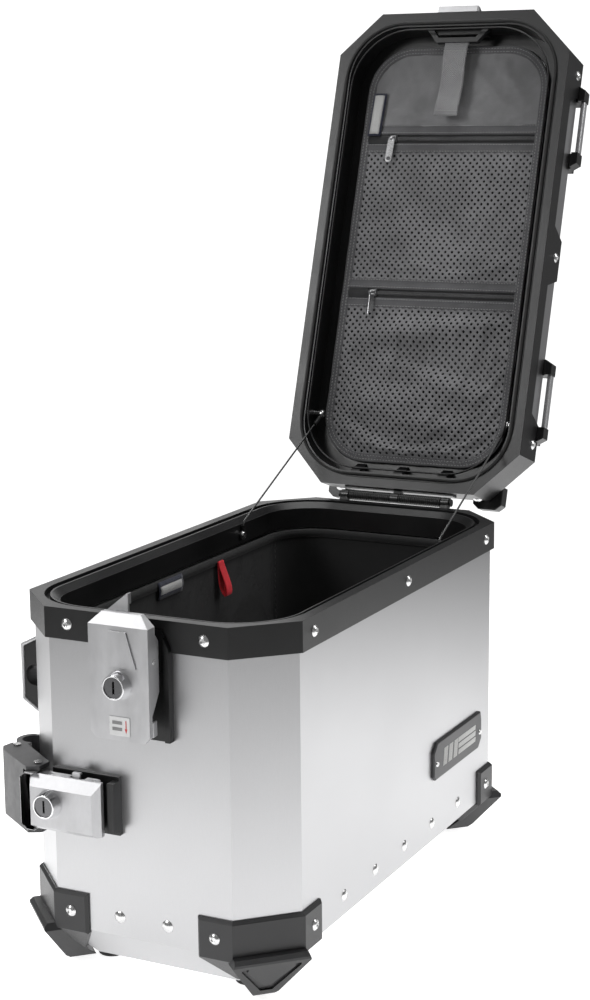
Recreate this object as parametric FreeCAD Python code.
"""Aluminium motorcycle side case: octagonal plan, lid hinged at one short end, two key latches at the other.

Millimetres. +Z up, +Y from the latch end towards the hinge, -X the side that faces the motorcycle.
The origin is on the ground under the middle of the body. The lid is drawn closed and exported open.
"""
import FreeCAD, Part
import math
import os

Vector = FreeCAD.Vector
X_AXIS = Vector(1, 0, 0)
Y_AXIS = Vector(0, 1, 0)
Z_AXIS = Vector(0, 0, 1)

# ---- driving dimensions -------------------------------------------------------------------------
BODY_HALF_X = 120.0          # aluminium walls, outside
BODY_HALF_Y = 239.0
CORNER_LEG = 40.0            # 45 degree corner facets of the plan
BODY_HEIGHT = 300.0          # floor to the top of the rim
BOTTOM_BEVEL = 35.0
SHEET = 1.5
FOOT_HEIGHT = 8.0

RIM_SKIRT = 3.5              # plastic bands stand proud of the sheet by this much
RIM_HEIGHT = 25.0
RIM_CAP = 3.0
ROUND_CORNER = 68.0          # radius that an inner contour would have at the rim's outer face

LID_GAP = 1.0                # between rim and lid frame when closed
LID_SIDE = 49.0              # straight side of the lid, parting plane to bevel
LID_BEVEL = 12.0
LID_BAND = 20.0
LID_FRAME_WALL_DEPTH = 29.0
OPEN_ANGLE = 108.4

GUARD_THICK = 3.7
GUARD_TOP = 66.0
GUARD_FLAP = 30.0

SCREW_HEAD_R = 5.0
SCREW_HEAD_H = 2.4
SCREW_SHANK_R = 2.0
RIVET_HEAD_R = 5.2
RIVET_HEAD_H = 1.9
RIVET_SHANK_R = 1.6
RUN = 0.05                   # radial clearance of pins that turn
TUBE_R = 9.0                 # rack tube that the case hangs on
CABLE_R = 1.0

# ---- levels and faces worked out from them ------------------------------------------------------
FLOOR_Z = FOOT_HEIGHT
BEVEL_Z = FLOOR_Z + BOTTOM_BEVEL
RIM_TOP_Z = FLOOR_Z + BODY_HEIGHT
RIM_BOTTOM_Z = RIM_TOP_Z - RIM_HEIGHT
WALL_TOP_Z = RIM_TOP_Z - RIM_CAP
SCREW_Z = RIM_TOP_Z - RIM_HEIGHT / 2
RIVET_Z = FLOOR_Z + 51.0
GUARD_SCREW_Z = FLOOR_Z + 50.0
BAND_HALF_X = BODY_HALF_X + RIM_SKIRT
BAND_HALF_Y = BODY_HALF_Y + RIM_SKIRT
LID_Z = RIM_TOP_Z + LID_GAP
LID_SIDE_Z = RIM_TOP_Z + LID_SIDE
LID_TOP_Z = LID_SIDE_Z + LID_BEVEL
LID_SCREW_Z = RIM_TOP_Z + 34.0
HINGE_Y = BAND_HALF_Y + 9.5
HINGE_Z = RIM_TOP_Z + 3.3
LEG_CHANGE = 2 - math.sqrt(2)  # a facet's leg shortens by this much for each unit of inward offset

parts = {}


# ---- helpers ------------------------------------------------------------------------------------
def octagon(offset, z):
    """Plan outline of the case, moved inwards by offset from the sheet's outer face."""
    half_x = BODY_HALF_X - offset
    half_y = BODY_HALF_Y - offset
    leg = CORNER_LEG - LEG_CHANGE * offset
    corner = [(half_x, half_y - leg), (half_x - leg, half_y)]
    points = corner + [(-x, y) for x, y in reversed(corner)]
    points += [(-x, -y) for x, y in points]
    return Part.makePolygon([Vector(x, y, z) for x, y in points + points[:1]])


def rounded_rectangle(half_x, half_y, radius, z):
    """A closed wire of four lines and four quarter arcs."""
    edges = []
    diagonal = radius * (1 - math.sqrt(0.5))
    signs = [(1, 1), (-1, 1), (-1, -1), (1, -1)]
    ends = []
    for sx, sy in signs:
        on_side = Vector(sx * half_x, sy * (half_y - radius), z)
        on_end = Vector(sx * (half_x - radius), sy * half_y, z)
        middle = Vector(sx * (half_x - diagonal), sy * (half_y - diagonal), z)
        first, last = (on_side, on_end) if sx == sy else (on_end, on_side)
        edges.append(Part.Arc(first, middle, last).toShape())
        ends.append((first, last))
    for here, following in zip(ends, ends[1:] + ends[:1]):
        edges.append(Part.LineSegment(here[1], following[0]).toShape())
    return Part.Wire(Part.__sortEdges__(edges))


def inner_contour(depth, z):
    """Rounded contour at a depth inwards from the outer face of the plastic bands."""
    return rounded_rectangle(BAND_HALF_X - depth, BAND_HALF_Y - depth, ROUND_CORNER - depth, z)


def prism(wire, height):
    return Part.Face(wire).extrude(Vector(0, 0, height))


def ring(outer, inner, height):
    return prism(outer, height).cut(prism(inner, height))


def loft(lower, upper):
    return Part.makeLoft([lower, upper], True, True)


def box(low, high):
    low, high = Vector(*low), Vector(*high)
    size = high - low
    return Part.makeBox(size.x, size.y, size.z, low)


def rod(centre, direction, radius, length):
    """A cylinder that starts at centre and runs along direction."""
    return Part.makeCylinder(radius, length, Vector(*centre), direction)


def plate(points, normal, thickness):
    """Polygon points in space, extruded along normal."""
    corners = [Vector(*p) for p in points]
    face = Part.Face(Part.makePolygon(corners + corners[:1]))
    return face.extrude(normal * thickness)


def fused(shapes):
    shapes = list(shapes)
    whole = shapes[0].fuse(shapes[1:]) if len(shapes) > 1 else shapes[0]
    return whole.removeSplitter()


def group(solids):
    return Part.makeCompound([solid for shape in solids for solid in shape.Solids])


def drilled(shape, holes):
    return shape.cut(list(holes))


def opened(shape):
    """Turn a shape of the closed lid about the hinge to where it stands open."""
    shape = shape.copy()
    shape.rotate(Vector(0, HINGE_Y, HINGE_Z), -X_AXIS, OPEN_ANGLE)
    return shape


def button_screw(seat, outward, shank):
    """Domed button-head screw with a hexagon socket; seat is the point under its head."""
    dome_r = (SCREW_HEAD_R ** 2 + SCREW_HEAD_H ** 2) / (2 * SCREW_HEAD_H)
    dome = Part.makeSphere(dome_r, Vector(0, 0, SCREW_HEAD_H - dome_r))
    head = Part.makeCylinder(SCREW_HEAD_R, SCREW_HEAD_H).common(dome)
    body = Part.makeCylinder(SCREW_SHANK_R, shank, Vector(0, 0, -shank))
    socket_r = SCREW_HEAD_R * 0.42
    corners = [Vector(socket_r * math.cos(i * math.pi / 3), socket_r * math.sin(i * math.pi / 3), 1.0)
               for i in range(6)]
    socket = Part.Face(Part.makePolygon(corners + corners[:1])).extrude(Vector(0, 0, SCREW_HEAD_H))
    screw = head.fuse(body).removeSplitter().cut(socket)
    screw.Placement = FreeCAD.Placement(Vector(*seat), FreeCAD.Rotation(Z_AXIS, outward))
    return screw


def rivet(seat, outward, shank):
    dome_r = (RIVET_HEAD_R ** 2 + RIVET_HEAD_H ** 2) / (2 * RIVET_HEAD_H)
    dome = Part.makeSphere(dome_r, Vector(0, 0, RIVET_HEAD_H - dome_r))
    head = Part.makeCylinder(RIVET_HEAD_R, RIVET_HEAD_H).common(dome)
    body = Part.makeCylinder(RIVET_SHANK_R, shank, Vector(0, 0, -shank))
    whole = head.fuse(body).removeSplitter()
    whole.Placement = FreeCAD.Placement(Vector(*seat), FreeCAD.Rotation(Z_AXIS, outward))
    return whole


def through(seat, outward, radius, depth):
    """The hole that a fastener's shank needs, reaching past both faces."""
    reach = 8.0
    start = Vector(*seat) + outward * reach
    return Part.makeCylinder(radius, depth + reach, start, -outward)


# ---- where the fasteners are --------------------------------------------------------------------
SIDE_SCREW_Y = (-180.0, 0.0, 180.0)
END_SCREW_X = (-61.0, 61.0)
HINGE_END_SCREW_X = (-74.0, 74.0)
GUARD_SCREW_X = 65.7
GUARD_SCREW_Y = 183.8
RIVET_PITCH = 61.1
END_RIVET_X = (-21.8, 21.8)


def rim_screw_seats():
    for side in (-1, 1):
        for y in SIDE_SCREW_Y:
            yield (side * BAND_HALF_X, y, SCREW_Z), X_AXIS * side
    for x in END_SCREW_X:
        yield (x, -BAND_HALF_Y, SCREW_Z), -Y_AXIS
    for x in HINGE_END_SCREW_X:
        yield (x, BAND_HALF_Y, SCREW_Z), Y_AXIS


def guard_screw_seats():
    for sx in (-1, 1):
        for sy in (-1, 1):
            yield (sx * (BODY_HALF_X + GUARD_THICK), sy * GUARD_SCREW_Y, GUARD_SCREW_Z), X_AXIS * sx
            yield (sx * GUARD_SCREW_X, sy * (BODY_HALF_Y + GUARD_THICK), GUARD_SCREW_Z), Y_AXIS * sy


def rivet_seats():
    for side in (-1, 1):
        for i in range(-2, 3):
            yield (side * BODY_HALF_X, i * RIVET_PITCH, RIVET_Z), X_AXIS * side
        for x in END_RIVET_X:
            yield (x, side * BODY_HALF_Y, RIVET_Z), Y_AXIS * side


RIM_SCREW_LENGTH = RIM_SKIRT + SHEET + 1.0
GUARD_SCREW_LENGTH = GUARD_THICK + 2 * SHEET + 1.0
RIVET_LENGTH = 2 * SHEET + 1.0
RIM_SCREW_HOLES = [through(s, n, SCREW_SHANK_R, RIM_SCREW_LENGTH + 1) for s, n in rim_screw_seats()]
GUARD_SCREW_HOLES = [through(s, n, SCREW_SHANK_R, GUARD_SCREW_LENGTH + 1) for s, n in guard_screw_seats()]
RIVET_HOLES = [through(s, n, RIVET_SHANK_R, RIVET_LENGTH + 1) for s, n in rivet_seats()]


# ---- case: sheet metal --------------------------------------------------------------------------
def wall_shell():
    height = WALL_TOP_Z - BEVEL_Z
    walls = ring(octagon(0, BEVEL_Z), octagon(SHEET, BEVEL_Z), height)
    return drilled(walls, RIM_SCREW_HOLES + GUARD_SCREW_HOLES + RIVET_HOLES)


def bottom_tray():
    """Bevelled floor pan whose upstand is riveted inside the walls."""
    upstand_top = FLOOR_Z + 62.0
    upstand = prism(octagon(SHEET, BEVEL_Z), upstand_top - BEVEL_Z)
    outside = loft(octagon(BOTTOM_BEVEL, FLOOR_Z), octagon(0, BEVEL_Z)).fuse(upstand)
    inner_top = 2 * SHEET
    inner_bottom = inner_top + BOTTOM_BEVEL - SHEET
    hollow = loft(octagon(inner_bottom, FLOOR_Z + SHEET), octagon(inner_top, BEVEL_Z))
    hollow = hollow.fuse(prism(octagon(inner_top, BEVEL_Z), upstand_top - BEVEL_Z))
    return drilled(outside.cut(hollow).removeSplitter(), GUARD_SCREW_HOLES + RIVET_HOLES)


# ---- case: rim ----------------------------------------------------------------------------------
RIM_STRIP = 9.0              # flat top of the rim
GROOVE_END = 13.5            # gasket groove, from RIM_STRIP to here
GROOVE_FLOOR_Z = RIM_TOP_Z - 5.0
LIP_WIDTH = 5.0
OPENING_DEPTH = 21.5


def latch_outline(grow):
    """Front outline of the lid latch's base: a plate with clipped upper corners."""
    half, clip = 32.0 + grow, 7.0
    top, bottom = RIM_TOP_Z - 8.0 + grow, FLOOR_Z + 204.0 - grow
    return [(-half, bottom), (half, bottom), (half, top - 2 * clip), (half - clip, top),
            (clip - half, top), (-half, top - 2 * clip)]


def body_rim():
    skirt = prism(octagon(-RIM_SKIRT, RIM_BOTTOM_Z), RIM_HEIGHT)
    skirt = skirt.cut(prism(octagon(0, RIM_BOTTOM_Z), WALL_TOP_Z - RIM_BOTTOM_Z))
    skirt = skirt.cut(prism(inner_contour(RIM_STRIP, RIM_BOTTOM_Z), RIM_HEIGHT))
    ledge_z = GROOVE_FLOOR_Z - RIM_CAP
    leg = ring(octagon(SHEET, ledge_z), inner_contour(RIM_STRIP, ledge_z), WALL_TOP_Z - ledge_z)
    floor = ring(inner_contour(RIM_STRIP, ledge_z), inner_contour(GROOVE_END, ledge_z), RIM_CAP)
    lip_top = RIM_TOP_Z - 1.0
    lip = ring(inner_contour(GROOVE_END, ledge_z), inner_contour(OPENING_DEPTH, ledge_z), lip_top - ledge_z)
    inner_skirt = ring(inner_contour(OPENING_DEPTH - 2.5, RIM_BOTTOM_Z),
                       inner_contour(OPENING_DEPTH, RIM_BOTTOM_Z), RIM_HEIGHT - 6.0)
    slope = loft(inner_contour(OPENING_DEPTH - 0.8, lip_top - LIP_WIDTH),
                 inner_contour(GROOVE_END + 1.5, lip_top + 0.01))
    rim = fused([skirt, leg, floor, lip, inner_skirt]).cut(slope)
    notch = plate([(x, -BAND_HALF_Y - 1, z) for x, z in latch_outline(0.4)], Y_AXIS, RIM_SKIRT + 1)
    return drilled(rim, RIM_SCREW_HOLES + [notch])


# ---- case: corner guards, bumpers, feet ---------------------------------------------------------
def offset_body(grow, top):
    """Solid that the case's outside would fill if its faces moved outwards by grow."""
    slant = grow * (math.sqrt(2) - 1)
    low = loft(octagon(BOTTOM_BEVEL - slant, FLOOR_Z - grow), octagon(-grow, BEVEL_Z - slant))
    return low.fuse(prism(octagon(-grow, BEVEL_Z - slant), top - BEVEL_Z + slant)).removeSplitter()


def corner_guard(sx, sy):
    """Moulded wrap-around corner: two flaps, a facet and the bevel beneath them."""
    top = FLOOR_Z + GUARD_TOP
    shell = offset_body(GUARD_THICK, top).cut(offset_body(0, top + 1))
    facet_x = BODY_HALF_X - CORNER_LEG
    facet_y = BODY_HALF_Y - CORNER_LEG
    far = BODY_HALF_Y + 20
    low = FLOOR_Z + 6.0
    lean = 22.0

    def region(edge, limit):
        return [(edge - GUARD_FLAP, top), (edge - GUARD_FLAP, BEVEL_Z - 2), (edge - GUARD_FLAP + lean, low),
                (limit, low), (limit, top)]

    front = plate([(x, facet_y, z) for x, z in region(facet_x, far)], Y_AXIS, 80)
    side = plate([(facet_x, y, z) for y, z in region(facet_y, far)], X_AXIS, 80)
    guard = shell.common(front.fuse(side).removeSplitter())
    guard = chamfered_outline(guard, facet_x, facet_y, top)
    guard = mirrored(guard, sx, sy)
    return drilled(guard, GUARD_SCREW_HOLES)


def chamfered_outline(guard, facet_x, facet_y, top):
    """Break the guard's top and end edges on its outer face."""
    bevel = 2.4
    outer = []
    for edge in guard.Edges:
        ends = [v.Point for v in edge.Vertexes]
        on_top = all(abs(p.z - top) < 0.01 for p in ends)
        on_front = all(abs(p.x - facet_x + GUARD_FLAP) < 0.01 and p.z > BEVEL_Z - 2.1 for p in ends)
        on_side = all(abs(p.y - facet_y + GUARD_FLAP) < 0.01 and p.z > BEVEL_Z - 2.1 for p in ends)
        if not (on_top or on_front or on_side):
            continue
        if all(stands_proud(p) for p in ends):
            outer.append(edge)
    return guard.makeChamfer(bevel, outer)


def stands_proud(point):
    """True for a point on the guard's outer surface rather than on the sheet metal."""
    grow = GUARD_THICK
    facet = point.x + point.y - (BODY_HALF_X + BODY_HALF_Y - CORNER_LEG)
    distance = max(point.x - BODY_HALF_X, point.y - BODY_HALF_Y, facet / math.sqrt(2))
    return distance > grow - 0.05


def mirrored(shape, sx, sy):
    if sx < 0:
        shape = shape.mirror(Vector(0, 0, 0), X_AXIS)
    if sy < 0:
        shape = shape.mirror(Vector(0, 0, 0), Y_AXIS)
    return shape


def facet_frame(shape):
    """Move a shape drawn at the origin (+Y outwards) onto the +X +Y corner facet."""
    shape = shape.copy()
    shape.rotate(Vector(0, 0, 0), Z_AXIS, -45)
    middle_x = BODY_HALF_X - CORNER_LEG / 2
    middle_y = BODY_HALF_Y - CORNER_LEG / 2
    shape.translate(Vector(middle_x, middle_y, 0))
    return shape


BUMPER_HALF_TOP = 30.0
BUMPER_HALF_TIP = 9.0
BUMPER_PROUD = 9.0
GROOVE_DEEP = 2.0


def bumper_outline(inset):
    """Three-cornered face, point down, drawn on the facet; inset moves every edge inwards."""
    top, tip = BEVEL_Z + 2.0 - inset, FLOOR_Z - 4.0 + inset * 1.6
    wide = BUMPER_HALF_TOP - inset * 1.9
    return [(-wide, top), (wide, top), (wide + 2, top - 6), (BUMPER_HALF_TIP - inset, tip),
            (inset - BUMPER_HALF_TIP, tip), (-wide - 2, top - 6)]


def corner_bumper(sx, sy):
    """Three-cornered block on the bevel of the corner, with a V groove in its face."""
    reach = 60.0
    proud = BUMPER_PROUD + GUARD_THICK
    top_z, tip_z = BEVEL_Z + 2.0, FLOOR_Z - 4.0
    block = plate([(x, -reach, z) for x, z in bumper_outline(0)], Y_AXIS, 2 * reach)
    side = plate([(-50, -reach, FLOOR_Z), (-50, -34, FLOOR_Z), (-50, -34, tip_z), (-50, proud - 25, tip_z),
                  (-50, proud - 21, tip_z + 3), (-50, proud, top_z - 5), (-50, proud, top_z - 3),
                  (-50, proud - 3, top_z), (-50, -reach, top_z)],
                 X_AXIS, 100)
    groove = plate([(x, -reach, z) for x, z in bumper_outline(4.0)], Y_AXIS, 2 * reach)
    groove = groove.cut(plate([(x, -reach, z + 1.5) for x, z in bumper_outline(6.5)], Y_AXIS, 2 * reach))
    groove = groove.cut(box((-50, -reach, top_z - 8), (50, reach, top_z)))
    face = block.common(side)
    face = face.cut(groove.cut(side.translated(Vector(0, -GROOVE_DEEP, 0))))
    return mirrored(facet_frame(face).cut(offset_body(GUARD_THICK, RIM_TOP_Z)), sx, sy)


def rubber_foot(sx, sy):
    """Foot under the corner of the floor."""
    radius, inset = 13.0, 50.0
    foot = Part.makeCone(radius - 1.5, radius, FOOT_HEIGHT, Vector(0, -inset, 0), Z_AXIS)
    return mirrored(facet_frame(foot), sx, sy)


# ---- case: inner bag, plate ---------------------------------------------------------------------
BAG_HALF_X = 99.0
BAG_HALF_Y = 218.0
BAG_R = 46.0
BAG_THICK = 2.0


def inner_bag():
    """Fabric inner bag: an open-topped tub that follows the bevelled floor."""
    top = RIM_BOTTOM_Z - 0.5
    knee = FLOOR_Z + 24.0
    base = FLOOR_Z + 4.0

    def tub(thick):
        slope = knee - base
        lower = rounded_rectangle(BAG_HALF_X - slope - thick, BAG_HALF_Y - slope - thick,
                                  BAG_R - slope - thick, base + thick)
        upper = rounded_rectangle(BAG_HALF_X - thick, BAG_HALF_Y - thick, BAG_R - thick, knee)
        return loft(lower, upper).fuse(prism(upper, top - knee)).removeSplitter()

    return tub(0).cut(tub(BAG_THICK))


LOOP_Y = 60.0
LOOP_WIDTH = 11.0
LOOP_HEIGHT = 26.0


def bag_pull_loop():
    """Folded ribbon sewn inside the bag's wall on the motorcycle side."""
    wall_x = BAG_THICK - BAG_HALF_X
    top = RIM_BOTTOM_Z - 2.0
    profile = [(wall_x, LOOP_Y, top), (wall_x + 3, LOOP_Y, top - 2),
               (wall_x + 9, LOOP_Y, top - LOOP_HEIGHT), (wall_x + 6, LOOP_Y, top - LOOP_HEIGHT - 1),
               (wall_x, LOOP_Y, top - 8)]
    return plate(profile, Y_AXIS, LOOP_WIDTH)


PLATE_Y = (59.5, 173.5)
PLATE_Z = (FLOOR_Z + 90.3, FLOOR_Z + 124.5)
PLATE_THICK = 3.0
PLATE_SCREW_Z = FLOOR_Z + 105.0
PLATE_SCREW_Y = (66.0, 169.0)


def plate_screw_seats():
    for y in PLATE_SCREW_Y:
        yield (BODY_HALF_X + PLATE_THICK, y, PLATE_SCREW_Z), X_AXIS


def name_plate():
    y0, y1 = PLATE_Y
    z0, z1 = PLATE_Z
    cut = 8.0
    outline = [(y0, z0 + 4), (y0 + 4, z0), (y1 - cut, z0), (y1, z0 + cut), (y1, z1 - cut), (y1 - 2, z1),
               (y0 + cut, z1), (y0, z1 - cut)]
    body = plate([(BODY_HALF_X, y, z) for y, z in outline], X_AXIS, PLATE_THICK)
    rear_face = [f for f in body.Faces if abs(f.CenterOfMass.x - BODY_HALF_X - PLATE_THICK) < 0.01]
    body = body.makeChamfer(1.0, rear_face[0].Edges)
    return drilled(body, [through(s, n, 1.2, PLATE_THICK) for s, n in plate_screw_seats()])


def small_screw(seat, outward, head_r, shank_r, shank):
    """Countersunk-style screw with a straight slot."""
    head = Part.makeCone(head_r, head_r - 0.5, 1.0)
    whole = head.fuse(Part.makeCylinder(shank_r, shank, Vector(0, 0, -shank))).removeSplitter()
    whole = whole.cut(Part.makeBox(2 * head_r, 0.7, 1.0, Vector(-head_r, -0.35, 0.5)))
    whole.Placement = FreeCAD.Placement(Vector(*seat), FreeCAD.Rotation(Z_AXIS, outward))
    return whole


# ---- hinge --------------------------------------------------------------------------------------
KNUCKLE_R = 5.0
HINGE_PIN_R = 2.5
END_KNUCKLE = (49.3, 57.5)
SPRING_SPAN = (4.6, 48.9)
MIDDLE_KNUCKLE = 4.2
COIL_WIRE = 2.0


def hinge_bore():
    return rod((-80, HINGE_Y, HINGE_Z), X_AXIS, HINGE_PIN_R + RUN, 160)


def hinge_case_leaf():
    """Leaf on the rim's end face with a knuckle at each end."""
    half = END_KNUCKLE[1]
    leaf = box((-half, BAND_HALF_Y, RIM_BOTTOM_Z + 3), (half, BAND_HALF_Y + 2.5, RIM_TOP_Z - 3))
    pieces = [leaf]
    for side in (-1, 1):
        x0, x1 = sorted((side * END_KNUCKLE[0], side * END_KNUCKLE[1]))
        pieces.append(rod((x0, HINGE_Y, HINGE_Z), X_AXIS, KNUCKLE_R, x1 - x0))
        web = [(x0, BAND_HALF_Y, RIM_TOP_Z - 8), (x0, BAND_HALF_Y, RIM_TOP_Z - 3),
               (x0, HINGE_Y - 2, HINGE_Z + 1), (x0, HINGE_Y + 4, HINGE_Z - 3)]
        pieces.append(plate(web, X_AXIS, x1 - x0))
    return fused(pieces).cut(hinge_bore())


def hinge_lid_leaf():
    """Leaf on the lid frame's end face with the middle knuckle."""
    half = END_KNUCKLE[1]
    leaf = box((-half, BAND_HALF_Y, LID_Z + 6), (half, BAND_HALF_Y + 2.5, LID_Z + 18))
    low = -MIDDLE_KNUCKLE
    knuckle = rod((low, HINGE_Y, HINGE_Z), X_AXIS, KNUCKLE_R, 2 * MIDDLE_KNUCKLE)
    web = [(low, BAND_HALF_Y, LID_Z + 6), (low, BAND_HALF_Y, LID_Z + 14), (low, HINGE_Y + 2, HINGE_Z + 3),
           (low, HINGE_Y - 2, HINGE_Z + 2)]
    return fused([leaf, knuckle, plate(web, X_AXIS, 2 * MIDDLE_KNUCKLE)]).cut(hinge_bore())


def hinge_pin():
    half = END_KNUCKLE[1] + 1.0
    shaft = rod((-half, HINGE_Y, HINGE_Z), X_AXIS, HINGE_PIN_R, 2 * half)
    heads = [rod((-half - 1.2, HINGE_Y, HINGE_Z), X_AXIS, 3.6, 1.2),
             rod((half, HINGE_Y, HINGE_Z), X_AXIS, 3.6, 1.2)]
    return fused([shaft] + heads)


def hinge_springs():
    """Two close-wound torsion springs on the pin; each turn is drawn as a closed ring."""
    mean_r = KNUCKLE_R - COIL_WIRE / 2
    springs = []
    for side in (-1, 1):
        turns = int((SPRING_SPAN[1] - SPRING_SPAN[0]) / COIL_WIRE)
        overlap = 0.15
        coils = []
        for i in range(turns):
            x = side * (SPRING_SPAN[0] + COIL_WIRE * (i + 0.5))
            coils.append(Part.makeTorus(mean_r, COIL_WIRE / 2 + overlap, Vector(x, HINGE_Y, HINGE_Z), X_AXIS))
        springs.append(fused(coils))
    return group(springs)


# ---- stay cables --------------------------------------------------------------------------------
CABLE_X = 100.0
CABLE_LID_Y = 170.0
CABLE_LID_Z = RIM_TOP_Z + 22.0
CABLE_CASE_Y = 122.0
CABLE_SCREW_Z = FLOOR_Z + 283.5
EYELET_R = 4.5
EYELET_THICK = 1.6
OPENING_X = BAND_HALF_X - OPENING_DEPTH
LID_OPENING_DEPTH = 14.5


def cable_lid_end(side):
    """Where the cable meets its lid eyelet, with the lid open."""
    point = Part.Vertex(Vector(side * CABLE_X, CABLE_LID_Y, CABLE_LID_Z))
    return opened(point).Point


def cable(side):
    """Steel stay rope: from the lid eyelet straight down to a short crimped end over the case screw."""
    top = cable_lid_end(side)
    bend = Vector(side * CABLE_X, CABLE_CASE_Y + 1.0, CABLE_SCREW_Z + 12.5)
    foot = Vector(side * CABLE_X, CABLE_CASE_Y, CABLE_SCREW_Z + EYELET_R + 0.1)
    down = (foot - bend).normalize()
    up = (top - bend).normalize()
    half_turn = (math.pi - up.getAngle(down)) / 2
    radius = 0.45 * (foot - bend).Length / math.tan(half_turn)
    back = radius * math.tan(half_turn)
    first, last = bend + up * back, bend + down * back
    centre = bend + (up + down).normalize() * (radius / math.cos(half_turn))
    middle = centre - (up + down).normalize() * radius
    start = top + (bend - top).normalize() * (EYELET_R + 0.1)
    path = Part.Wire([Part.LineSegment(start, first).toShape(), Part.Arc(first, middle, last).toShape(),
                      Part.LineSegment(last, foot).toShape()])
    section = Part.Wire(Part.Circle(start, bend - top, CABLE_R).toShape())
    rope = path.makePipeShell([section], True, False)
    print("cable", side, "length", round(path.Length, 1), "radius", round(radius, 1),
          "volume check", round(rope.Volume / (math.pi * CABLE_R ** 2 * path.Length), 3))
    return rope


def eyelet_and_screw(centre, side, wall_x):
    """Ring terminal held to a side wall by a screw whose axis is X."""
    x0 = side * (CABLE_X - EYELET_THICK / 2)
    inward = -X_AXIS * side
    ring_part = rod((side * (CABLE_X + EYELET_THICK / 2), centre.y, centre.z), inward, EYELET_R, EYELET_THICK)
    spacer = rod((wall_x, centre.y, centre.z), inward, 3.0, abs(wall_x) - CABLE_X - EYELET_THICK / 2)
    head = small_screw((x0, centre.y, centre.z), inward, 3.6, 1.5, EYELET_THICK)
    return fused([ring_part, spacer, head])


def cable_anchors_case():
    anchors = []
    for side in (-1, 1):
        centre = Vector(0, CABLE_CASE_Y, CABLE_SCREW_Z)
        anchors.append(eyelet_and_screw(centre, side, side * OPENING_X))
    return group(anchors)


def cable_anchors_lid():
    wall_x = BAND_HALF_X - LID_OPENING_DEPTH
    centre = Vector(0, CABLE_LID_Y, CABLE_LID_Z)
    return group([eyelet_and_screw(centre, side, side * wall_x) for side in (-1, 1)])


# ---- lid ----------------------------------------------------------------------------------------
TAB_TOP = 46.0
CORNER_TAB_Y = 166.0
MIDDLE_TAB_HALF = 20.0
LID_SCREW_LENGTH = RIM_SKIRT + SHEET + 1.0


def lid_screw_seats():
    for side in (-1, 1):
        for y in (-185.0, -1.0, 185.0):
            yield (side * BAND_HALF_X, y, LID_SCREW_Z), X_AXIS * side
    for x in END_SCREW_X:
        yield (x, -BAND_HALF_Y, LID_SCREW_Z), -Y_AXIS
    for x in HINGE_END_SCREW_X:
        yield (x, BAND_HALF_Y, LID_SCREW_Z), Y_AXIS


LID_SCREW_HOLES = [through(s, n, SCREW_SHANK_R, LID_SCREW_LENGTH + 1) for s, n in lid_screw_seats()]
FRAME_FLANGE = 3.0
SEAL_DEPTH = 10.2
SEAL_WIDTH = 2.4
PANEL_DEPTH = 24.0
RIB_X = (-52.0, -6.0, 41.0)
RIB_HALF = 5.0


def lid_shell():
    """Drawn aluminium lid with a bevelled top edge."""
    low = LID_Z + FRAME_FLANGE
    outside = prism(octagon(0, low), LID_SIDE_Z - low)
    outside = outside.fuse(loft(octagon(0, LID_SIDE_Z), octagon(LID_BEVEL, LID_TOP_Z)))
    hollow = prism(octagon(SHEET, low), LID_SIDE_Z - low)
    hollow = hollow.fuse(loft(octagon(SHEET, LID_SIDE_Z), octagon(LID_BEVEL + SHEET * 0.4, LID_TOP_Z - SHEET)))
    return drilled(outside.cut(hollow).removeSplitter(), LID_SCREW_HOLES)


def tab_prisms():
    """Solid of the zones, one round each screw, where the lid band rises to the bevel."""
    base, top, slope = LID_Z + LID_BAND - 1, RIM_TOP_Z + TAB_TOP, 10.0
    far = 140.0
    tabs = []
    spans = [(-BODY_HALF_Y - 9, -CORNER_TAB_Y), (CORNER_TAB_Y, BODY_HALF_Y + 9),
             (-MIDDLE_TAB_HALF, MIDDLE_TAB_HALF)]
    for y0, y1 in spans:
        outline = [(-far, y0 - slope, base), (-far, y1 + slope, base), (-far, y1, top), (-far, y0, top)]
        tabs.append(plate(outline, X_AXIS, 2 * far))
    for x in END_SCREW_X:
        outline = [(x - 14 - slope, -300, base), (x + 14 + slope, -300, base), (x + 14, -300, top),
                   (x - 14, -300, top)]
        tabs.append(plate(outline, Y_AXIS, 600))
    return tabs[0].fuse(tabs[1:])


def lid_ribs(ledge_z):
    """Wedges between the inner wall and the ledge at the hinge end, where the organiser leaves a gap."""
    wall_y = BAND_HALF_Y - LID_OPENING_DEPTH + 1.0
    ribs = []
    for x in RIB_X:
        side = [(x - RIB_HALF, wall_y, ledge_z - 17), (x - RIB_HALF, wall_y - 4, ledge_z - 15),
                (x - RIB_HALF, wall_y - 12, ledge_z), (x - RIB_HALF, wall_y, ledge_z)]
        ribs.append(plate(side, X_AXIS, 2 * RIB_HALF))
    return ribs


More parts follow.
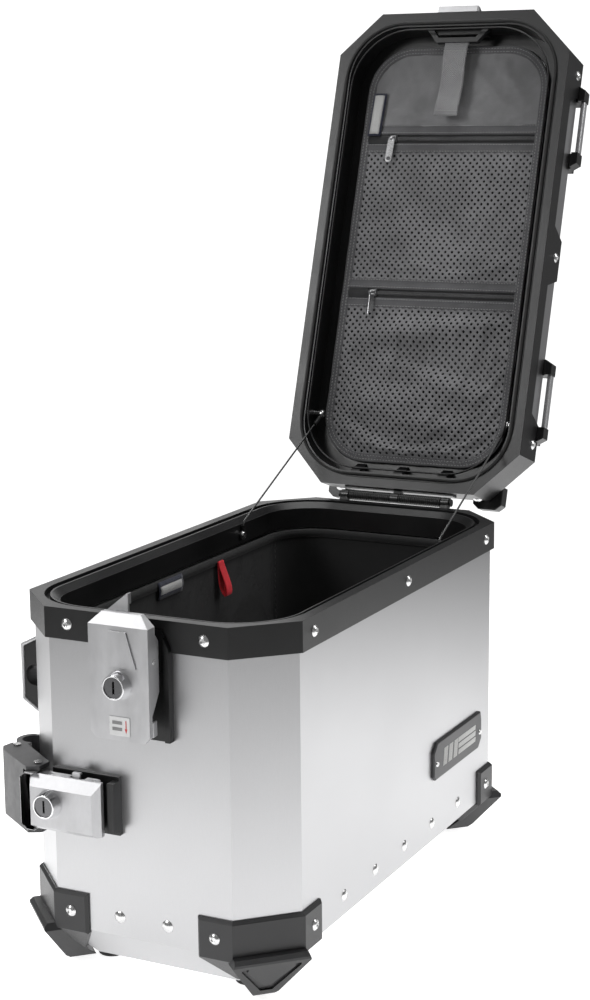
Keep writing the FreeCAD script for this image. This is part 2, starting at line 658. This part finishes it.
def lid_frame():
    """Black moulded frame: outer band with raised screw tabs, flange, seal channel and inner wall."""
    band = ring(octagon(-RIM_SKIRT, LID_Z), octagon(0, LID_Z), LID_BAND)
    tall = ring(octagon(-RIM_SKIRT, LID_Z), octagon(0, LID_Z), TAB_TOP + RIM_TOP_Z - LID_Z)
    tabs = tall.common(tab_prisms())
    flange = prism(octagon(-RIM_SKIRT, LID_Z), FRAME_FLANGE)
    flange = flange.cut(prism(inner_contour(LID_OPENING_DEPTH, LID_Z), FRAME_FLANGE))
    wall = ring(inner_contour(LID_OPENING_DEPTH - 2.5, LID_Z), inner_contour(LID_OPENING_DEPTH, LID_Z),
                LID_FRAME_WALL_DEPTH)
    ledge_z = LID_Z + LID_FRAME_WALL_DEPTH
    ledge = ring(inner_contour(LID_OPENING_DEPTH - 2.5, ledge_z), inner_contour(PANEL_DEPTH + 4, ledge_z), 2.0)
    frame = fused([band, tabs, flange, wall, ledge] + lid_ribs(ledge_z))
    channel = ring(inner_contour(SEAL_DEPTH, LID_Z), inner_contour(SEAL_DEPTH + SEAL_WIDTH, LID_Z), 2.0)
    return drilled(frame, LID_SCREW_HOLES + [channel])


def lid_gasket():
    """Rubber seal in the frame's channel; its edge dips into the rim's groove."""
    low = RIM_TOP_Z - 1.5
    return ring(inner_contour(SEAL_DEPTH, low), inner_contour(SEAL_DEPTH + SEAL_WIDTH, low), LID_Z + 2.0 - low)


LASH_SPANS = ((-178.0, -94.0), (98.0, 182.0))
LASH_END = 16.0
LASH_LOW = LID_SIDE_Z - 8.0
LASH_HIGH = LID_SIDE_Z + 6.0
LASH_OUT = 10.5
BAR_HEIGHT = 9.0
BAR_THICK = 4.5


def lashing_bracket(side, y0, y1, inner_end):
    """Moulded foot on the lid's shoulder, sloped away from the bar."""
    x0, x1 = BODY_HALF_X, BODY_HALF_X + LASH_OUT
    outer_end = y1 if inner_end == y0 else y0
    slope = 5.0 if outer_end > inner_end else -5.0
    profile = [(x0, inner_end, LASH_LOW), (x1, inner_end, LASH_LOW), (x1, outer_end - slope, LASH_LOW),
               (x0 + 2, outer_end, LASH_LOW), (x0, outer_end, LASH_LOW)]
    foot = plate(profile, Z_AXIS, LASH_HIGH - LASH_LOW)
    foot = foot.fuse(box((x0 - LID_BEVEL, y0, LID_SIDE_Z - 1), (x0 + 1, y1, LID_TOP_Z + 2)))
    foot = foot.cut(lid_outside())
    foot = foot.cut(prism(octagon(-RIM_SKIRT, LID_Z), TAB_TOP + RIM_TOP_Z - LID_Z))
    return foot.removeSplitter() if side > 0 else foot.removeSplitter().mirror(Vector(0, 0, 0), X_AXIS)


def lid_outside():
    body = prism(octagon(0, LID_Z), LID_SIDE_Z - LID_Z)
    return body.fuse(loft(octagon(0, LID_SIDE_Z), octagon(LID_BEVEL, LID_TOP_Z)))


def lashing_ends():
    for y0, y1 in LASH_SPANS:
        yield y0, y0 + LASH_END, y0 + LASH_END
        yield y1 - LASH_END, y1, y1 - LASH_END


def lashing_brackets():
    feet = [lashing_bracket(side, y0, y1, inner) for side in (-1, 1) for y0, y1, inner in lashing_ends()]
    return group(feet)


def lashing_bars():
    """Aluminium bars that bridge each pair of feet, clear of the lid for a strap."""
    bars = []
    for side in (-1, 1):
        for y0, y1 in LASH_SPANS:
            x0, x1 = sorted((side * (BODY_HALF_X + LASH_OUT - BAR_THICK), side * (BODY_HALF_X + LASH_OUT)))
            middle = (LASH_LOW + LASH_HIGH) / 2
            bar = box((x0, y0 + LASH_END, middle - BAR_HEIGHT / 2), (x1, y1 - LASH_END, middle + BAR_HEIGHT / 2))
            bars.append(bar.makeChamfer(1.0, [e for e in bar.Edges if abs(e.Length - (y1 - y0 - 2 * LASH_END)) < 1]))
    return group(bars)


def lid_rear_bumpers():
    """Two blocks on the lid's rear shoulder that it stands on when it is put down."""
    blocks = []
    z0, z1 = LID_SIDE_Z - 2.0, LID_SIDE_Z + 12.0
    for side in (-1, 1):
        x0, x1 = sorted((side * 64.0, side * 94.0))
        y0 = BODY_HALF_Y - LID_BEVEL
        outline = [(x0, y0, z0), (x1, y0, z0), (x1, BAND_HALF_Y + 3, z0), (x1 - 6, BAND_HALF_Y + 8, z0),
                   (x0 + 6, BAND_HALF_Y + 8, z0), (x0, BAND_HALF_Y + 3, z0)]
        blocks.append(plate(outline, Z_AXIS, z1 - z0).cut(lid_outside()))
    return group(blocks)


KEEPER_HALF = 21.5
KEEPER_OUT = 7.0


def lid_keeper():
    """Pressed catch on the lid's front edge that the hook bears on."""
    y0 = -BAND_HALF_Y
    profile = [(-KEEPER_HALF, y0, LID_Z + 1), (-KEEPER_HALF, y0 - KEEPER_OUT, LID_Z + 1),
               (-KEEPER_HALF, y0 - KEEPER_OUT, LID_Z + 8), (-KEEPER_HALF, y0 - 2.0, LID_Z + 8),
               (-KEEPER_HALF, y0 - 2.0, LID_Z + 18), (-KEEPER_HALF, y0, LID_Z + 18)]
    return plate(profile, X_AXIS, 2 * KEEPER_HALF)


# ---- lid: fabric organiser ----------------------------------------------------------------------
PANEL_Z = LID_Z + LID_FRAME_WALL_DEPTH - 3.0
PANEL_THICK = 2.0
PANEL_HALF_X = 97.0
PANEL_HALF_Y = 214.0
PANEL_R = 46.0
POCKET_THICK = 1.2
ZIP_THICK = 1.6
ZIP_HALF_X = 90.0
ZIP_WIDTH = 30.0
ZIP_Y = (-119.0, 42.0)
MESH_UPPER_Y = (-103.0, 26.0)
MESH_LOWER_Y = (58.0, 196.0)


def organiser_panel():
    outline = rounded_rectangle(PANEL_HALF_X, PANEL_HALF_Y, PANEL_R, PANEL_Z)
    return prism(outline, PANEL_THICK)


def pocket(y0, y1, corner):
    """A flat closed solid for a net pocket on the panel; corner rounds its hinge end."""
    half = ZIP_HALF_X
    sheet = box((-half, y0, PANEL_Z - POCKET_THICK), (half, y1, PANEL_Z))
    if corner:
        outline = rounded_rectangle(half, PANEL_HALF_Y - 14, corner, PANEL_Z - POCKET_THICK)
        sheet = sheet.common(prism(outline, POCKET_THICK))
    return sheet


def zip_tape(y):
    z = PANEL_Z - ZIP_THICK
    return box((-ZIP_HALF_X, y - ZIP_WIDTH / 2, z), (ZIP_HALF_X, y + ZIP_WIDTH / 2, PANEL_Z))


SLIDER_X = -63.0
SLIDER_GAP = 0.3


def zip_slider(y):
    """Slider body with its hanging pull tab, resting on the zip's face."""
    z = PANEL_Z - ZIP_THICK - SLIDER_GAP
    body = box((SLIDER_X - 5, y - 4.5, z - 2.6), (SLIDER_X + 5, y + 4.5, z))
    tab = box((SLIDER_X - 3, y + 3.5, z - 2.2), (SLIDER_X + 3, y + 26, z - 0.8))
    return fused([body, tab])


HOOP_DEPTH = 14.0


def strap_bracket():
    """Moulded hoop on the lid's front inner wall: a foot, two slanted legs and the bar the strap hangs from."""
    y = LID_OPENING_DEPTH - BAND_HALF_Y
    foot = box((-30, y, LID_Z + 12), (30, y + 5, LID_Z + 22))
    legs = [plate([(side * 34, y, LID_Z + 8), (side * 27, y, LID_Z + 8), (side * 16, y + HOOP_DEPTH, LID_Z + 8),
                   (side * 22, y + HOOP_DEPTH, LID_Z + 8)], Z_AXIS, 6) for side in (-1, 1)]
    bar = box((-22, y + HOOP_DEPTH - 5, LID_Z + 8), (22, y + HOOP_DEPTH, LID_Z + 13.5))
    return fused([foot, bar] + legs)


STRAP_HALF = 13.0


def webbing_strap():
    y = LID_OPENING_DEPTH - BAND_HALF_Y + 5
    z = PANEL_Z - 5.5
    return plate([(-STRAP_HALF, y, LID_Z + 15), (-STRAP_HALF, y + 6, LID_Z + 16), (-STRAP_HALF, y + 14, z),
                  (-STRAP_HALF, y + 84, z), (-STRAP_HALF, y + 84, z + 1.6), (-STRAP_HALF, y + 13, z + 1.6),
                  (-STRAP_HALF, y + 5, LID_Z + 17.6), (-STRAP_HALF, y, LID_Z + 17)],
                 X_AXIS, 2 * STRAP_HALF)


# ---- lid latch ----------------------------------------------------------------------------------
LATCH_FACE_Y = -BODY_HALF_Y - 27.0
LATCH_HALF = 26.3
LATCH_LOW = FLOOR_Z + 208.0
LATCH_HIGH = FLOOR_Z + 307.0
LATCH_PIN = (-BODY_HALF_Y - 18.5, FLOOR_Z + 271.0)
LATCH_BASE_THICK = 4.0
LATCH_PIN_R = 2.0
COVER_THICK = 1.6
LOCK_Z = FLOOR_Z + 252.0
LOCK_R = 9.6
PLUG_R = 8.2
LOCK_OUT = 9.0
BASE_FACE_Y = -BODY_HALF_Y - LATCH_BASE_THICK


def latch_base():
    """Black base on the front wall with two ears that carry the rocker's pin."""
    base = plate([(x, BASE_FACE_Y, z) for x, z in latch_outline(0)], Y_AXIS, LATCH_BASE_THICK)
    fence = plate([(x, BASE_FACE_Y - 3, z) for x, z in latch_outline(0)], Y_AXIS, 3)
    fence = fence.cut(box((-LATCH_HALF - 1.2, -400, 0), (LATCH_HALF + 1.2, 0, 400)))
    ears = []
    pin_y, pin_z = LATCH_PIN
    for side in (-1, 1):
        x0, x1 = sorted((side * 19.0, side * 23.5))
        outline = [(x0, BASE_FACE_Y, pin_z - 12), (x0, pin_y - 3.5, pin_z - 4), (x0, pin_y - 3.5, pin_z + 3.5),
                   (x0, BASE_FACE_Y, pin_z + 8)]
        ears.append(plate(outline, X_AXIS, x1 - x0))
    bore = rod((-40, pin_y, pin_z), X_AXIS, LATCH_PIN_R, 80)
    return fused([base, fence] + ears).cut(bore)


def latch_pin():
    pin_y, pin_z = LATCH_PIN
    half = LATCH_HALF + 0.2
    return rod((-half, pin_y, pin_z), X_AXIS, LATCH_PIN_R, 2 * half)


def cover_blank(back_profile, grow):
    """Solid that the pressed cover wraps; grow is negative for its inside."""
    half = LATCH_HALF + grow
    face = LATCH_FACE_Y - grow
    low, high = LATCH_LOW - grow, LATCH_HIGH + grow
    front = plate([(-half, face, low + 5), (5 - half, face, low), (half - 5, face, low), (half, face, low + 5),
                   (half, face, high - 9), (half - 9, face, high), (9 - half, face, high),
                   (-half, face, high - 9)], Y_AXIS, 40)
    side = plate([(-60, face, low), (-60, face, high - 9), (-60, face + 6, high)]
                 + [(-60, y, z) for y, z in back_profile(grow)], X_AXIS, 120)
    return front.common(side)


def latch_back_profile(grow):
    """Rear edge of the cover's side walls, from the top down."""
    reach = 0 if grow == 0 else 20
    back = -BODY_HALF_Y - 11.5 + reach
    return [(back - 4.8, LATCH_HIGH + grow), (back - 4.8, FLOOR_Z + 292), (back, FLOOR_Z + 286),
            (back, FLOOR_Z + 246), (LATCH_FACE_Y + 4.5 + reach, FLOOR_Z + 229),
            (LATCH_FACE_Y + 4.5 + reach, LATCH_LOW - grow)]


def latch_lever():
    """Pressed cover that rocks on the pin: pushed in at the bottom it lifts the hook off the lid."""
    cover = cover_blank(latch_back_profile, 0).cut(cover_blank(latch_back_profile, -COVER_THICK))
    pin_y, pin_z = LATCH_PIN
    relief = plate([(-16, LATCH_FACE_Y - 1.2, FLOOR_Z + 266), (-7.5, LATCH_FACE_Y - 1.2, FLOOR_Z + 294),
                    (7.5, LATCH_FACE_Y - 1.2, FLOOR_Z + 294), (16, LATCH_FACE_Y - 1.2, FLOOR_Z + 266)],
                   Y_AXIS, 1.2)
    hole = rod((-40, pin_y, pin_z), X_AXIS, LATCH_PIN_R + RUN, 80)
    seat = rod((0, LATCH_FACE_Y - 1, LOCK_Z), Y_AXIS, LOCK_R - 2, 6)
    return cover.fuse(relief).removeSplitter().cut([hole, seat])


def latch_hook():
    """Triangular hook plate fixed behind the top of the cover, its nose over the lid's catch."""
    y0 = LATCH_FACE_Y + COVER_THICK
    back = -BAND_HALF_Y - KEEPER_OUT - 3.0
    post = plate([(-20, back - 2.2, FLOOR_Z + 284), (-20, back - 2.2, FLOOR_Z + 303.5),
                  (2, back - 2.2, FLOOR_Z + 321), (3, back - 2.2, FLOOR_Z + 321), (3, back - 2.2, FLOOR_Z + 284)],
                 Y_AXIS, 2.2)
    nose = plate([(-9, back, FLOOR_Z + 312.5), (3, back, FLOOR_Z + 312.5), (3, back, FLOOR_Z + 321),
                  (2, back, FLOOR_Z + 321)], Y_AXIS, 2.6)
    foot = box((-16, y0, FLOOR_Z + 284), (3, back - 2.2, FLOOR_Z + 288))
    return fused([post, nose, foot])


RELEASE_LOW = FLOOR_Z + 212.0
RELEASE_HIGH = FLOOR_Z + 224.5


def latch_release():
    """Spring-loaded catch inside the cover with a finger tab at each side."""
    y0, y1 = LATCH_FACE_Y + 5.0, LATCH_FACE_Y + 12.0
    web = box((-LATCH_HALF, y0, RELEASE_LOW), (LATCH_HALF, y0 + 1.8, RELEASE_HIGH))
    tabs = [box((x0, y0, RELEASE_LOW), (x0 + 1.8, y1, RELEASE_HIGH)) for x0 in (-LATCH_HALF, LATCH_HALF - 1.8)]
    return fused([web] + tabs)


def lock_barrel(centre, depth):
    """Flared bezel of a key lock pointing to -Y, with a collar through the cover."""
    x, y, z = centre
    bezel = Part.makeCone(LOCK_R + 1.8, LOCK_R, LOCK_OUT, Vector(x, y, z), -Y_AXIS)
    collar = rod((x, y, z), Y_AXIS, LOCK_R - 2, depth)
    bore = rod((x, y - LOCK_OUT - 1, z), Y_AXIS, PLUG_R + RUN, LOCK_OUT - 1.5)
    return fused([bezel, collar]).cut(bore)


def lock_plug(centre):
    """Turning plug with its key slot."""
    x, y, z = centre
    plug = rod((x, y - LOCK_OUT + 0.8, z), Y_AXIS, PLUG_R, LOCK_OUT - 3.6)
    slot = box((x - 0.9, y - LOCK_OUT, z - 5), (x + 0.9, y - LOCK_OUT + 4, z + 5))
    return plug.cut(slot)


# ---- carrier latch ------------------------------------------------------------------------------
CARRIER_LOW = FLOOR_Z + 123.0
CARRIER_HIGH = FLOOR_Z + 167.0
CARRIER_LEFT = -91.0
CARRIER_RIGHT = -25.0
CARRIER_FACE_Y = -BODY_HALF_Y - 24.0
CARRIER_BACK_Y = -BODY_HALF_Y - 9.0
ARM_PIN = (-88.5, -BODY_HALF_Y - 9.0)
JAW_PIN = (-129.5, -217.0)
LEVER_PIN = (-33.0, -BODY_HALF_Y - 14.0)
LEVER_PIN_R = 1.5
ARM_LOW = FLOOR_Z + 117.5
ARM_HIGH = FLOOR_Z + 172.5
ARM_PLATE = 3.4
CARRIER_LOCK = (-69.0, FLOOR_Z + 146.0)
BLOCK_THICK = 4.0


def carrier_latch_base():
    """Black base on the front wall with lugs for the arm pin and the cover's pin."""
    wall_y = -BODY_HALF_Y
    base = box((-78, wall_y - BLOCK_THICK, CARRIER_LOW - 2), (-17, wall_y, CARRIER_HIGH + 2))
    arm_x, arm_y = ARM_PIN
    lug = rod((arm_x, arm_y, CARRIER_LOW + 2.2), Z_AXIS, 4.5, CARRIER_HIGH - CARRIER_LOW - 4.4)
    web = plate([(arm_x - 1, arm_y - 4.4, CARRIER_LOW + 2.2), (-76, wall_y - BLOCK_THICK, CARRIER_LOW + 2.2),
                 (-76, wall_y, CARRIER_LOW + 2.2), (arm_x, arm_y + 4.4, CARRIER_LOW + 2.2)], Z_AXIS,
                CARRIER_HIGH - CARRIER_LOW - 4.4)
    pin_x, pin_y = LEVER_PIN
    ears = [plate([(pin_x - 4, pin_y - 4, z), (pin_x + 3.5, pin_y - 4, z), (pin_x + 3.5, pin_y + 3, z),
                   (pin_x + 2.5, pin_y + 5.5, z), (pin_x + 2.5, wall_y - BLOCK_THICK, z),
                   (pin_x - 6, wall_y - BLOCK_THICK, z)], Z_AXIS, 3.5)
            for z in (CARRIER_LOW + 3.5, CARRIER_HIGH - 14.0)]
    side_block = box((-22.5, wall_y - 13, CARRIER_LOW + 2), (-17, wall_y - BLOCK_THICK, CARRIER_HIGH - 1))
    bores = [rod((arm_x, arm_y, CARRIER_LOW), Z_AXIS, LATCH_PIN_R, 50),
             rod((pin_x, pin_y, CARRIER_LOW), Z_AXIS, LEVER_PIN_R, 50)]
    return fused([base, lug, web, side_block] + ears).cut(bores + [prism(octagon(0, CARRIER_LOW - 5), 60)])


def carrier_arm_pin():
    """Pins of the arm and of the cover."""
    arm_x, arm_y = ARM_PIN
    pin_x, pin_y = LEVER_PIN
    arm = fused([rod((arm_x, arm_y, ARM_LOW - 1), Z_AXIS, LATCH_PIN_R, ARM_HIGH - ARM_LOW + 2),
                 rod((arm_x, arm_y, ARM_HIGH + 0.3), Z_AXIS, 3.4, 1.2)])
    cover = rod((pin_x, pin_y, CARRIER_LOW + 0.2), Z_AXIS, LEVER_PIN_R, CARRIER_HIGH - CARRIER_LOW - 0.4)
    return group([arm, cover])


def carrier_blank(grow):
    """Solid that the pressed cover wraps; grow is negative for its inside, which is open behind and at the arm."""
    right, face = CARRIER_RIGHT + grow, CARRIER_FACE_Y - grow
    low, high = CARRIER_LOW - grow, CARRIER_HIGH + grow
    inside = grow < 0
    back = CARRIER_BACK_Y + (20 if inside else 0)
    left = CARRIER_LEFT - (20 if inside else 0)
    plan = plate([(CARRIER_LEFT + 4 - grow, face, low), (right - 5, face, low), (right, face + 6, low),
                  (right, back, low), (left + 10, back, low), (left, face + 8, low)], Z_AXIS, high - low)
    section = plate([(-140, face, low + 3), (-140, face, high - 9), (-140, face + 7, high), (-140, back, high),
                     (-140, back, low), (-140, face + 3, low)], X_AXIS, 140)
    return plan.common(section)


def carrier_lever():
    """Pressed cover of the carrier latch; it opens about a pin at its outer end."""
    cover = carrier_blank(0).cut(carrier_blank(-COVER_THICK))
    pin_x, pin_y = LEVER_PIN
    hole = rod((pin_x, pin_y, 0), Z_AXIS, LEVER_PIN_R + RUN, 400)
    lock_x, lock_z = CARRIER_LOCK
    seat = rod((lock_x, CARRIER_FACE_Y - 1, lock_z), Y_AXIS, LOCK_R - 2, 6)
    notches = [box((-56, CARRIER_FACE_Y + 9.5, z), (-42, -BODY_HALF_Y, z + 4))
               for z in (CARRIER_LOW - 1, CARRIER_HIGH - 3)]
    heel = box((pin_x, pin_y, 0), (0, -BODY_HALF_Y, 400)).cut(rod((pin_x, pin_y, 0), Z_AXIS, 5, 400))
    return cover.cut([hole, seat, heel] + notches)


def carrier_release():
    """Catch bar that crosses the cover, with a finger tab above and below."""
    y0 = CARRIER_FACE_Y + 10.0
    bar = box((-54, y0, CARRIER_LOW - 4), (-46, y0 + 2, CARRIER_HIGH + 4))
    tabs = [box((-54, y0, z), (-46, y0 + 4, z + 2)) for z in (CARRIER_LOW - 4, CARRIER_HIGH + 2)]
    return fused([bar] + tabs)


def arm_outline():
    return [(-82.0, -BODY_HALF_Y - 2.5), (-82.5, -BODY_HALF_Y - 16), (-92, -BODY_HALF_Y - 21),
            (-134, -231), (-138.5, -224), (-137, -214), (-130.5, -209.5), (-124, -211)]


def carrier_arm():
    """U-section arm that swings on the arm pin and carries the jaw."""
    outline = arm_outline()
    block = plate([(x, y, ARM_LOW) for x, y in outline], Z_AXIS, ARM_HIGH - ARM_LOW)
    hollow_x = [(-60, -190), (-60, -BODY_HALF_Y - 40),
                (-97, -BODY_HALF_Y - 40), (-97, -252.5), (-131.5, -227.5), (-134, -223.5), (-150, -221),
                (-150, -190)]
    hollow = plate([(x, y, ARM_LOW + ARM_PLATE) for x, y in hollow_x], Z_AXIS,
                   ARM_HIGH - ARM_LOW - 2 * ARM_PLATE)
    bores = [rod(ARM_PIN + (0,), Z_AXIS, LATCH_PIN_R + RUN, 400),
             rod(JAW_PIN + (0,), Z_AXIS, LATCH_PIN_R, 400)]
    return block.cut([hollow] + bores).removeSplitter()


def carrier_edge_plate():
    """Bright plate bent round the arm's mouth; the cover closes into it."""
    low, high, thick = ARM_LOW + ARM_PLATE + 0.3, ARM_HIGH - ARM_PLATE - 0.3, 1.4
    left, right, corner = -97.0, -84.0, 5.0

    def profile(inset):
        return [(right, low + inset), (left + corner, low + inset), (left + inset, low + corner),
                (left + inset, high - corner), (left + corner, high - inset), (right, high - inset)]

    strip = profile(0) + profile(thick)[::-1]
    return plate([(x, CARRIER_FACE_Y + 0.6, z) for x, z in strip], Y_AXIS, 9.0)


def carrier_jaw_pin():
    x, y = JAW_PIN
    shaft = rod((x, y, ARM_LOW - 0.5), Z_AXIS, LATCH_PIN_R, ARM_HIGH - ARM_LOW + 0.8)
    return fused([shaft, rod((x, y, ARM_HIGH), Z_AXIS, 3.2, 1.2)])


TUBE_AXIS = (-BODY_HALF_X - 13.5, -188.0)


def carrier_jaw():
    """Claw that closes round the upright of the rack against the case's wall."""
    x, y = JAW_PIN
    low, high = ARM_LOW + ARM_PLATE + 0.4, ARM_HIGH - ARM_PLATE - 0.4
    eye = rod((x, y, low), Z_AXIS, 4.0, high - low)
    tube_x, tube_y = TUBE_AXIS
    outer = rod((tube_x, tube_y, low), Z_AXIS, TUBE_R + 5, high - low)
    claw = outer.common(box((tube_x - 20, tube_y - 20, low), (tube_x + 4, tube_y + 12, high)))
    neck = plate([(x - 3.4, y + 2, low), (x + 3.4, y + 2, low), (tube_x + 3.5, tube_y - TUBE_R - 1.5, low),
                  (tube_x - 7, tube_y - TUBE_R - 1, low)], Z_AXIS, high - low)
    bores = [rod((x, y, 0), Z_AXIS, LATCH_PIN_R + RUN, 400), rod((tube_x, tube_y, 0), Z_AXIS, TUBE_R, 400)]
    return fused([eye, claw, neck]).cut(bores)


# ---- carrier hooks ------------------------------------------------------------------------------
HOOK_Y = (-170.0, 170.0)
HOOK_HALF = 14.0
HOOK_OUT = 26.0
STRAP_THICK = 3.0
HOOK_TUBE_X = -BODY_HALF_X - 12.5
HOOK_TUBE_Z = FLOOR_Z + 222.0


def hook_outline(inset):
    """Side view of the bracket: a flattened loop against the wall."""
    x0, x1 = -BODY_HALF_X, inset - BODY_HALF_X - HOOK_OUT
    top, bottom = FLOOR_Z + 261.0 - inset, FLOOR_Z + 184.0 + inset
    return [(x0, top), (x1, FLOOR_Z + 248.0 - inset * 0.6), (x1, FLOOR_Z + 200.0 + inset * 0.6), (x0, bottom)]


def carrier_hook(y):
    """Aluminium strap bent into a loop, with a foot along the wall."""
    y0 = y - HOOK_HALF
    loop = plate([(x, y0, z) for x, z in hook_outline(0)], Y_AXIS, 2 * HOOK_HALF)
    loop = loop.cut(plate([(x, y0, z) for x, z in hook_outline(STRAP_THICK)], Y_AXIS, 2 * HOOK_HALF))
    foot = box((-BODY_HALF_X - 2.5, y0, FLOOR_Z + 168), (-BODY_HALF_X, y0 + 2 * HOOK_HALF, FLOOR_Z + 187))
    top = box((-BODY_HALF_X - 2.5, y0, FLOOR_Z + 258), (-BODY_HALF_X, y0 + 2 * HOOK_HALF, FLOOR_Z + 272))
    return fused([loop, foot, top])


def carrier_hook_pads():
    """Plastic blocks inside the loops, bored for the rack's horizontal tube."""
    pads = []
    for y in HOOK_Y:
        y0 = y - HOOK_HALF + 1.0
        length = 2 * HOOK_HALF - 2.0
        pad = plate([(x, y0, z) for x, z in hook_outline(STRAP_THICK)], Y_AXIS, length)
        pads.append(pad.cut(rod((HOOK_TUBE_X, y0 - 1, HOOK_TUBE_Z), Y_AXIS, TUBE_R, length + 2)))
    return group(pads)


# ---- assembly -----------------------------------------------------------------------------------
LATCH_LOCK = (0.0, LATCH_FACE_Y, LOCK_Z)
CARRIER_LOCK_POINT = (CARRIER_LOCK[0], CARRIER_FACE_Y, CARRIER_LOCK[1])
CORNERS = {"front_left": (-1, -1), "front_right": (1, -1), "rear_left": (-1, 1), "rear_right": (1, 1)}

parts["wall_shell"] = wall_shell()
parts["bottom_tray"] = bottom_tray()
parts["body_rim"] = body_rim()
parts["case_screws"] = group([button_screw(s, n, RIM_SCREW_LENGTH) for s, n in rim_screw_seats()]
                             + [button_screw(s, n, GUARD_SCREW_LENGTH) for s, n in guard_screw_seats()])
parts["wall_rivets"] = group([rivet(s, n, RIVET_LENGTH) for s, n in rivet_seats()])
for name, (sx, sy) in CORNERS.items():
    parts["corner_guard_" + name] = corner_guard(sx, sy)
parts["corner_bumpers"] = group([corner_bumper(sx, sy) for sx, sy in CORNERS.values()])
parts["rubber_feet"] = group([rubber_foot(sx, sy) for sx, sy in CORNERS.values()])
parts["inner_bag"] = inner_bag()
parts["bag_pull_loop"] = bag_pull_loop()
parts["name_plate"] = name_plate()
parts["name_plate_screws"] = group([small_screw(s, n, 2.6, 1.2, PLATE_THICK) for s, n in plate_screw_seats()])
parts["hinge_case_leaf"] = hinge_case_leaf()
parts["hinge_pin"] = hinge_pin()
parts["hinge_springs"] = hinge_springs()
parts["stay_cable_left"] = cable(-1)
parts["stay_cable_right"] = cable(1)
parts["cable_anchors_case"] = cable_anchors_case()
parts["latch_base"] = latch_base()
parts["latch_pin"] = latch_pin()
parts["carrier_latch_base"] = carrier_latch_base()
parts["carrier_latch_pins"] = carrier_arm_pin()
parts["carrier_hook_front"] = carrier_hook(HOOK_Y[0])
parts["carrier_hook_rear"] = carrier_hook(HOOK_Y[1])
parts["carrier_hook_pads"] = carrier_hook_pads()

lid_parts = {
    "lid_shell": lid_shell(),
    "lid_frame": lid_frame(),
    "lid_gasket": lid_gasket(),
    "lid_screws": group([button_screw(s, n, LID_SCREW_LENGTH) for s, n in lid_screw_seats()]),
    "lashing_brackets": lashing_brackets(),
    "lashing_bars": lashing_bars(),
    "lid_rear_bumpers": lid_rear_bumpers(),
    "lid_keeper": lid_keeper(),
    "hinge_lid_leaf": hinge_lid_leaf(),
    "cable_anchors_lid": cable_anchors_lid(),
    "organiser_panel": organiser_panel(),
    "net_pocket_upper": pocket(MESH_UPPER_Y[0], MESH_UPPER_Y[1], 0),
    "net_pocket_lower": pocket(MESH_LOWER_Y[0], MESH_LOWER_Y[1], 40),
    "zip_upper": zip_tape(ZIP_Y[0]),
    "zip_lower": zip_tape(ZIP_Y[1]),
    "zip_slider_upper": zip_slider(ZIP_Y[0]),
    "zip_slider_lower": zip_slider(ZIP_Y[1]),
    "strap_bracket": strap_bracket(),
    "webbing_strap": webbing_strap(),
}
parts.update({name: opened(shape) for name, shape in lid_parts.items()})

parts["latch_lever"] = latch_lever()
parts["latch_hook"] = latch_hook()
parts["latch_release"] = latch_release()
parts["latch_lock_barrel"] = lock_barrel(LATCH_LOCK, COVER_THICK + 1)
parts["latch_lock_plug"] = lock_plug(LATCH_LOCK)
parts["carrier_lever"] = carrier_lever()
parts["carrier_release"] = carrier_release()
parts["carrier_lock_barrel"] = lock_barrel(CARRIER_LOCK_POINT, COVER_THICK + 1)
parts["carrier_lock_plug"] = lock_plug(CARRIER_LOCK_POINT)
parts["carrier_arm"] = carrier_arm()
parts["carrier_edge_plate"] = carrier_edge_plate()
parts["carrier_jaw_pin"] = carrier_jaw_pin()
parts["carrier_jaw"] = carrier_jaw()

os.makedirs("parts", exist_ok=True)
for name, shape in parts.items():
    assert shape.isValid(), name
    shape.exportStep("parts/" + name + ".step")
    print(name, len(shape.Solids), "solids", round(shape.Volume / 1000, 2), "cm3")
